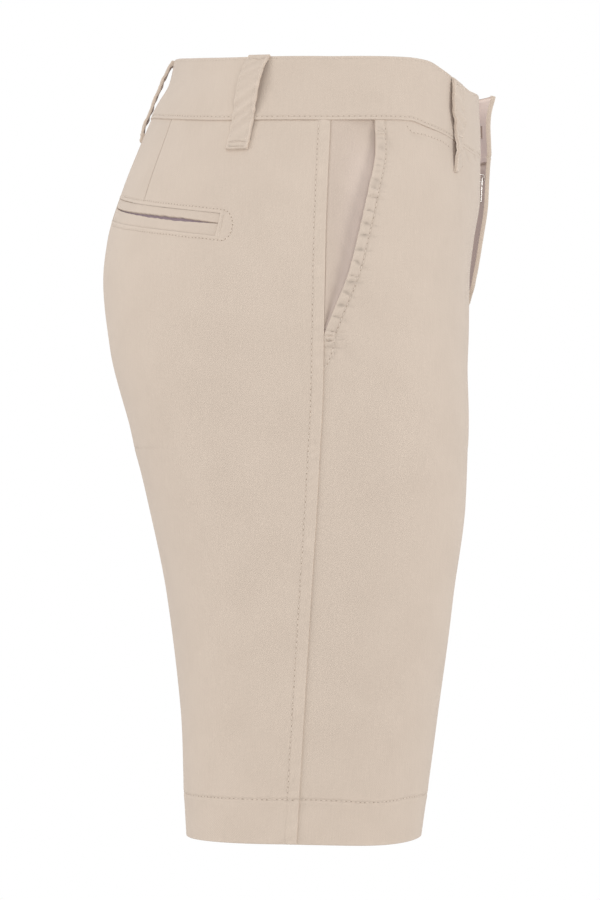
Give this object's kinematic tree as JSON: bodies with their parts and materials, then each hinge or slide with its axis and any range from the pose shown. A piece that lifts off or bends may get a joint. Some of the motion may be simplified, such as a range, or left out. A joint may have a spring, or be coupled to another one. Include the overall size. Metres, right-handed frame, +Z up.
{
  "type": "bermuda shorts",
  "caption": "Knee-length twill bermuda shorts, filled out as worn and hollow, with slanted side pockets, welt back pockets, belt loops and a zip fly.",
  "frame": {"origin": "centre of the waist, level with the middle of the waistband's side", "axes": "+Z up the body, -Y to the wearer's front, -X to the wearer's right"},
  "size_m": [0.3828, 0.2566, 0.5031],
  "materials": {
    "cotton_twill": "matt sand-coloured cotton twill",
    "zip_tape": "woven polyester tape, dyed to match",
    "zip_coil": "dyed nylon coil",
    "zip_metal": "satin nickel plate",
    "hook_metal": "satin nickel plate"
  },
  "bodies": {
    "shorts": {"back_left": "cotton_twill", "back_right": "cotton_twill", "back_welt_lower_left": "cotton_twill", "back_welt_lower_right": "cotton_twill", "back_welt_upper_left": "cotton_twill", "back_welt_upper_right": "cotton_twill", "belt_loop_centre_back": "cotton_twill", "belt_loop_front_left": "cotton_twill", "belt_loop_front_right": "cotton_twill", "belt_loop_side_back_left": "cotton_twill", "belt_loop_side_back_right": "cotton_twill", "fly_facing": "cotton_twill", "front_left": "cotton_twill", "front_right": "cotton_twill", "pocket_facing_left": "cotton_twill", "pocket_facing_right": "cotton_twill", "waist_bar": "hook_metal", "waist_hook": "hook_metal", "waistband_left": "cotton_twill", "waistband_right": "cotton_twill", "zip_chain": "zip_coil", "zip_slider": "zip_metal", "zip_tape_left": "zip_tape", "zip_tape_right": "zip_tape"},
    "pull_tab": {"zip_pull_tab": "zip_metal"}
  },
  "joints": [
    {"name": "pull_tab_swing", "type": "hinge", "parent": "shorts", "child": "pull_tab", "pos_m": [0.009, -0.10219, -0.04555], "axis": [-1, 0, 0], "range_deg": [-4, 3]}
  ]
}
